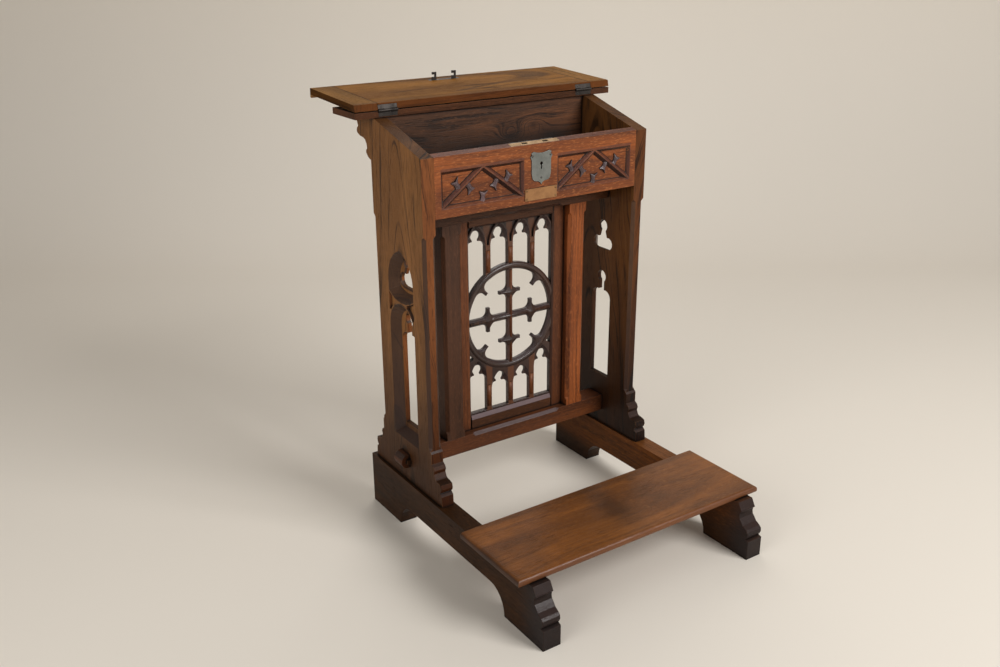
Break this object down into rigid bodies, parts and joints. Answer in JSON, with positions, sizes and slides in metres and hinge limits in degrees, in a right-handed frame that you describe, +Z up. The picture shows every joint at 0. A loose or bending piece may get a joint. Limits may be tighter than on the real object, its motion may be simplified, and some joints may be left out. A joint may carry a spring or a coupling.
{
  "type": "prayer lectern",
  "caption": "Oak kneeling desk with sled feet, a kneeling board, a pierced tracery grille, carved book box and a hinged sloping lid, shown folded open.",
  "frame": {"origin": "on the floor, under the middle of the whole object's box", "axes": "+Z up, +X to the kneeling person's right, +Y away from them, from the kneeling board to the desk"},
  "size_m": [0.604, 0.7578, 0.9006],
  "materials": {
    "oak_front": "waxed satin",
    "oak_side": "worn wax",
    "oak_dark": "dark stain, worn",
    "oak_tracery": "dark polish",
    "oak_kneeler": "worn satin",
    "oak_lid": "bare, dry",
    "grey_metal": "dull",
    "dull_brass": "matte",
    "pale_brass": "worn",
    "dark_iron": "dark, worn"
  },
  "bodies": {
    "stand": {"left_side_panel": "oak_side", "right_side_panel": "oak_side", "left_sled_foot": "oak_dark", "right_sled_foot": "oak_dark", "kneeler_board": "oak_kneeler", "lower_stretcher": "oak_front", "left_tenon_wedge": "oak_dark", "right_tenon_wedge": "oak_dark", "upper_rail": "oak_front", "left_post": "oak_front", "right_post": "oak_front", "grille_left_stile": "oak_front", "grille_right_stile": "oak_front", "grille_top_rail": "oak_front", "grille_bottom_rail": "oak_front", "tracery_panel": "oak_tracery", "box_front": "oak_front", "box_back": "oak_lid", "box_floor": "oak_lid", "top_shelf": "oak_lid", "left_hinge_shelf_leaf": "dark_iron", "right_hinge_shelf_leaf": "dark_iron", "left_hinge_pin": "dark_iron", "right_hinge_pin": "dark_iron", "lock_selvedge": "pale_brass", "lock_case": "dark_iron", "escutcheon": "grey_metal", "nameplate": "dull_brass"},
    "lid": {"lid_panel": "oak_lid", "lid_left_cleat": "oak_lid", "lid_right_cleat": "oak_lid", "lid_book_lip": "oak_lid", "left_hinge_lid_leaf": "dark_iron", "right_hinge_lid_leaf": "dark_iron", "link_plate": "dark_iron"},
    "bolt": {"lock_bolt": "dark_iron"}
  },
  "joints": [
    {"name": "lid_hinge", "type": "hinge", "parent": "stand", "child": "lid", "pos_m": [0, 0.18005, 0.862], "axis": [1, 0, 0], "range_deg": [0, 192.7]},
    {"name": "bolt_slide", "type": "slide", "parent": "stand", "child": "bolt", "axis": [1, 0, 0], "range_m": [0, 0.005]}
  ]
}
